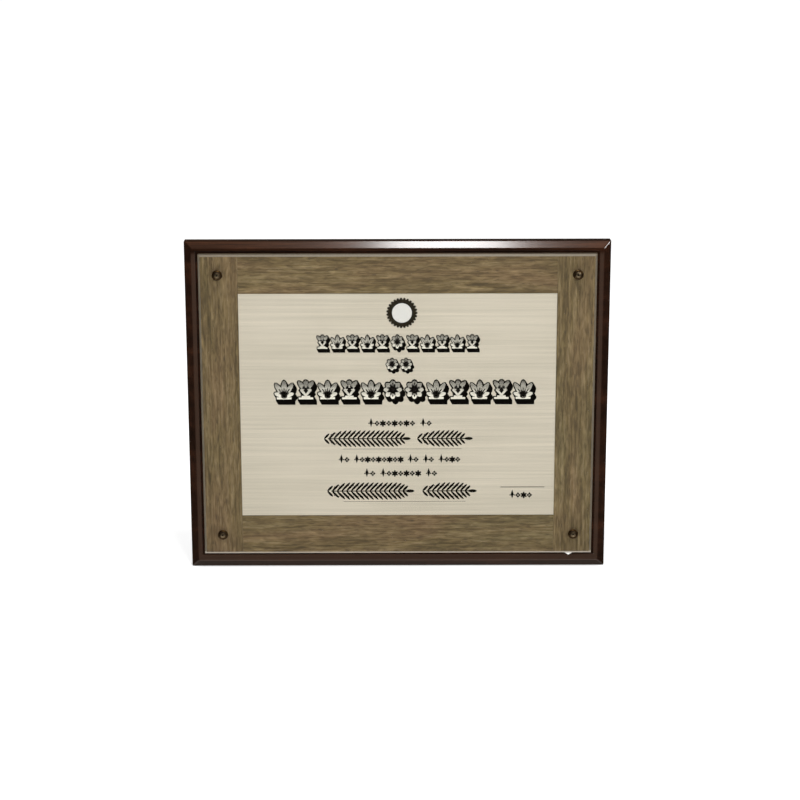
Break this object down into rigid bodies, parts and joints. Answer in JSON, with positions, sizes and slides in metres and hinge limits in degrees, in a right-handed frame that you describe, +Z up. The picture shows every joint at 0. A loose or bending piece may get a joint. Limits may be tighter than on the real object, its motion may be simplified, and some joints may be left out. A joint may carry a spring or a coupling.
{
  "type": "wall plaque",
  "caption": "Bevelled walnut wall plaque with a framed certificate sheet under a clear cover held by screws in cup washers, and keyhole hangers on its back.",
  "frame": {"origin": "centre of the board's flat back, which lies against the wall", "axes": "+Y out of the back into the wall, so the certificate faces -Y; +Z up and +X to the right as seen from the front"},
  "size_m": [0.381, 0.0218, 0.3048],
  "materials": {
    "walnut": "dark walnut stain under gloss lacquer",
    "weathered_oak": "grey-brown weathered veneer",
    "card": "grey-brown mounting card",
    "champagne_metal": "satin champagne, fine brushing along the width, black printed ornament",
    "seal_foil": "black foil-faced paper, embossed",
    "label_paper": "matt white paper",
    "clear_acrylic": "clear polished acrylic",
    "antique_brass": "antiqued brass, darkened in the hollows",
    "zinc_steel": "zinc-plated pressed steel"
  },
  "bodies": {
    "board": {"back_board": "walnut", "backing_card": "card", "border_stile_left": "weathered_oak", "border_stile_right": "weathered_oak", "border_rail_top": "weathered_oak", "border_rail_bottom": "weathered_oak", "certificate_sheet": "champagne_metal", "seal_foil": "seal_foil", "seal_label": "label_paper", "keyhole_plate_top": "zinc_steel", "keyhole_plate_side": "zinc_steel", "hanger_screws": "zinc_steel"},
    "cover": {"acrylic_cover": "clear_acrylic"},
    "washer_top_left": {"cup_washer_top_left": "antique_brass"},
    "screw_top_left": {"cover_screw_top_left": "antique_brass"},
    "washer_top_right": {"cup_washer_top_right": "antique_brass"},
    "screw_top_right": {"cover_screw_top_right": "antique_brass"},
    "washer_bottom_left": {"cup_washer_bottom_left": "antique_brass"},
    "screw_bottom_left": {"cover_screw_bottom_left": "antique_brass"},
    "washer_bottom_right": {"cup_washer_bottom_right": "antique_brass"},
    "screw_bottom_right": {"cover_screw_bottom_right": "antique_brass"}
  },
  "joints": [
    {"name": "cover_lift_off", "type": "slide", "parent": "board", "child": "cover", "axis": [0, -1, 0], "range_m": [0, 0.03]},
    {"name": "washer_travel_top_left", "type": "slide", "parent": "cover", "child": "washer_top_left", "axis": [0, -1, 0], "range_m": [0, 0.0088]},
    {"name": "screw_turn_top_left", "type": "hinge", "parent": "washer_top_left", "child": "screw_top_left", "pos_m": [-0.1608, -0.0195, 0.1232], "axis": [0, -1, 0], "range_deg": [0, 2880]},
    {"name": "washer_travel_top_right", "type": "slide", "parent": "cover", "child": "washer_top_right", "axis": [0, -1, 0], "range_m": [0, 0.0088]},
    {"name": "screw_turn_top_right", "type": "hinge", "parent": "washer_top_right", "child": "screw_top_right", "pos_m": [0.1608, -0.0195, 0.1232], "axis": [0, -1, 0], "range_deg": [0, 2880]},
    {"name": "washer_travel_bottom_left", "type": "slide", "parent": "cover", "child": "washer_bottom_left", "axis": [0, -1, 0], "range_m": [0, 0.0088]},
    {"name": "screw_turn_bottom_left", "type": "hinge", "parent": "washer_bottom_left", "child": "screw_bottom_left", "pos_m": [-0.1608, -0.0195, -0.1192], "axis": [0, -1, 0], "range_deg": [0, 2880]},
    {"name": "washer_travel_bottom_right", "type": "slide", "parent": "cover", "child": "washer_bottom_right", "axis": [0, -1, 0], "range_m": [0, 0.0088]},
    {"name": "screw_turn_bottom_right", "type": "hinge", "parent": "washer_bottom_right", "child": "screw_bottom_right", "pos_m": [0.1608, -0.0195, -0.1192], "axis": [0, -1, 0], "range_deg": [0, 2880]}
  ],
  "couplings": [
    {"joint": "screw_turn_top_left", "follows": "washer_travel_top_left", "rad_per_m": 5712},
    {"joint": "screw_turn_top_right", "follows": "washer_travel_top_right", "rad_per_m": 5712},
    {"joint": "screw_turn_bottom_left", "follows": "washer_travel_bottom_left", "rad_per_m": 5712},
    {"joint": "screw_turn_bottom_right", "follows": "washer_travel_bottom_right", "rad_per_m": 5712}
  ]
}
